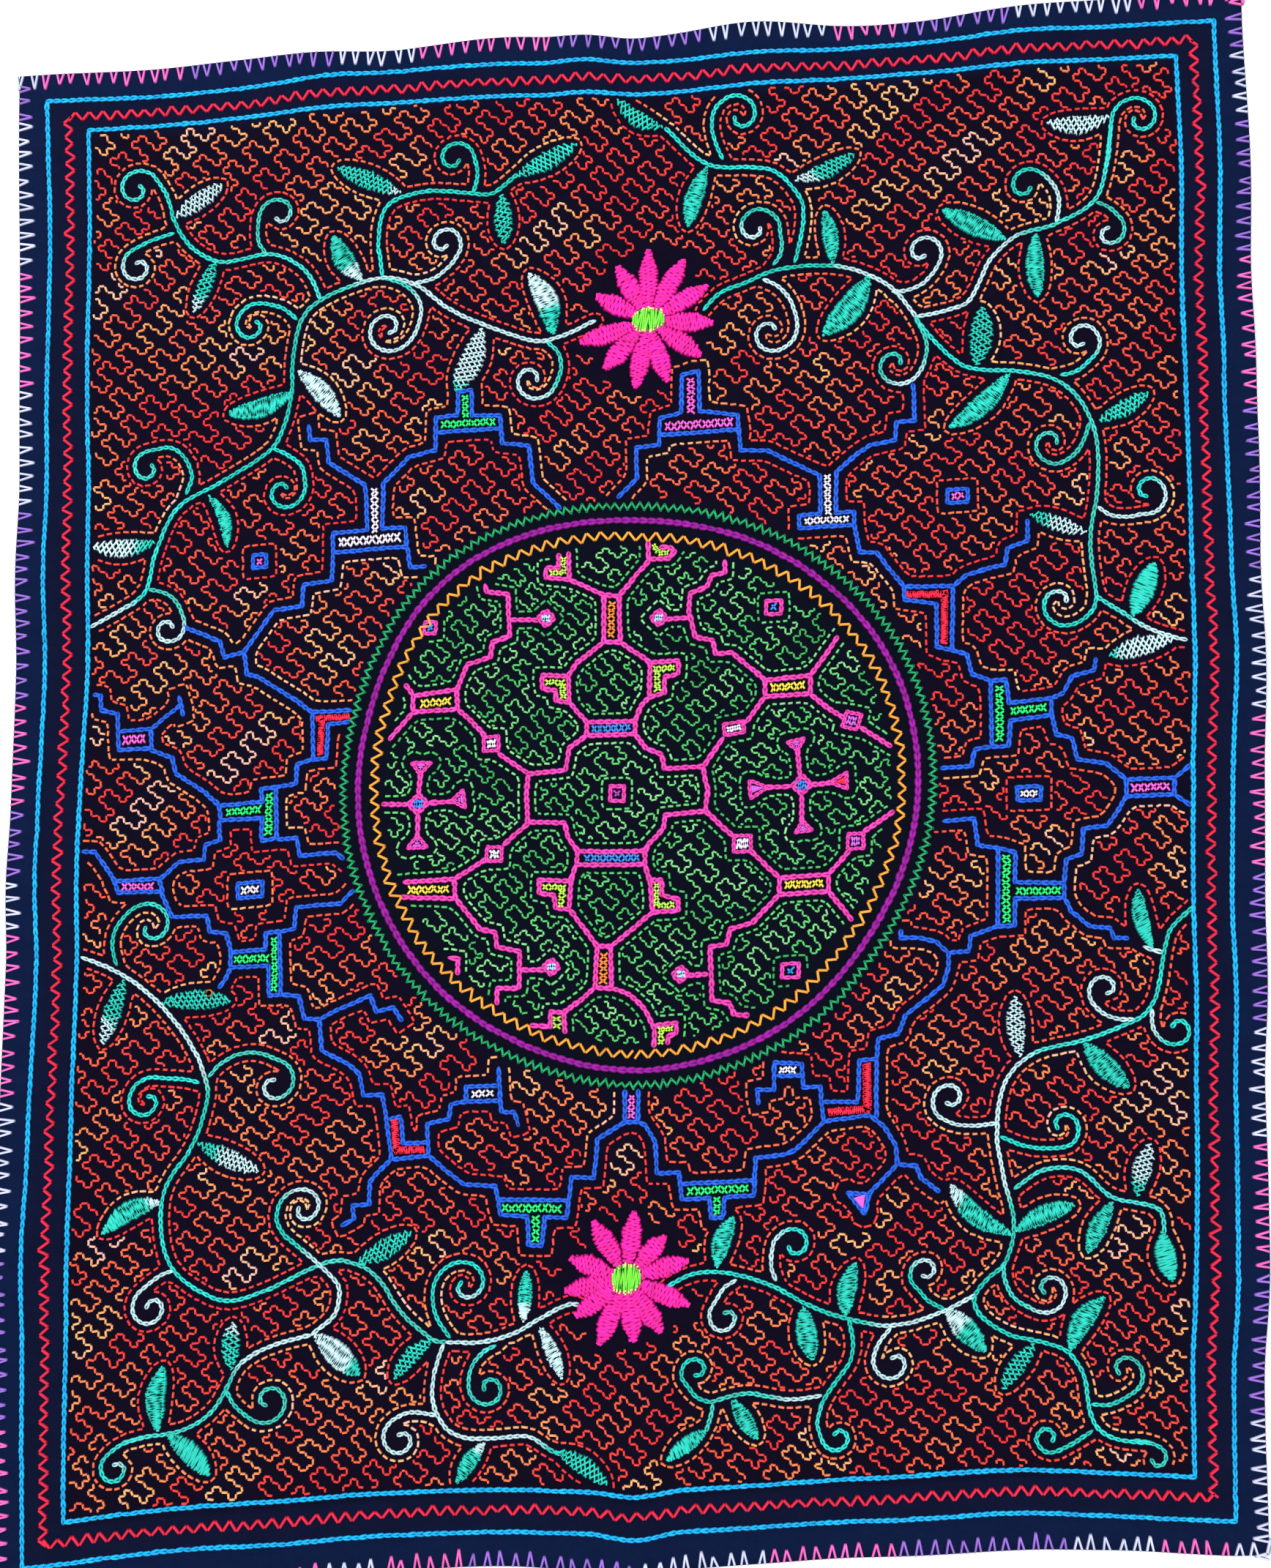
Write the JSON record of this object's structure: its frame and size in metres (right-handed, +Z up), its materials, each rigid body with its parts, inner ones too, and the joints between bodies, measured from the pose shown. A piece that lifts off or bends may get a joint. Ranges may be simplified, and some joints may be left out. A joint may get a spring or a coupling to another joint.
{
  "type": "shipibo embroidered cloth",
  "caption": "Flat rectangular panel of dark blue cotton, hand embroidered all over, with a stitched border frame and a whip-stitched edge.",
  "frame": {"origin": "on the surface that the cloth lies on, under the middle of the cloth", "axes": "+Z up through the embroidered face, +Y along the cloth's length, +X across its width"},
  "size_m": [0.7572, 0.9684, 0.0071],
  "materials": {
    "cotton_ground": "dark navy plain-weave cotton, matt, slightly faded",
    "yarn_blue": "bright blue embroidery yarn, soft sheen",
    "yarn_red": "red to peach shaded embroidery yarn, soft sheen",
    "yarn_teal": "teal to white shaded embroidery yarn, soft sheen",
    "yarn_pink": "magenta pink embroidery yarn, soft sheen",
    "yarn_green": "green to lime shaded embroidery yarn, soft sheen",
    "yarn_edge": "white, pink and lilac shaded embroidery yarn, soft sheen"
  },
  "bodies": {
    "root": {"cloth": "cotton_ground"}
  },
  "joints": []
}
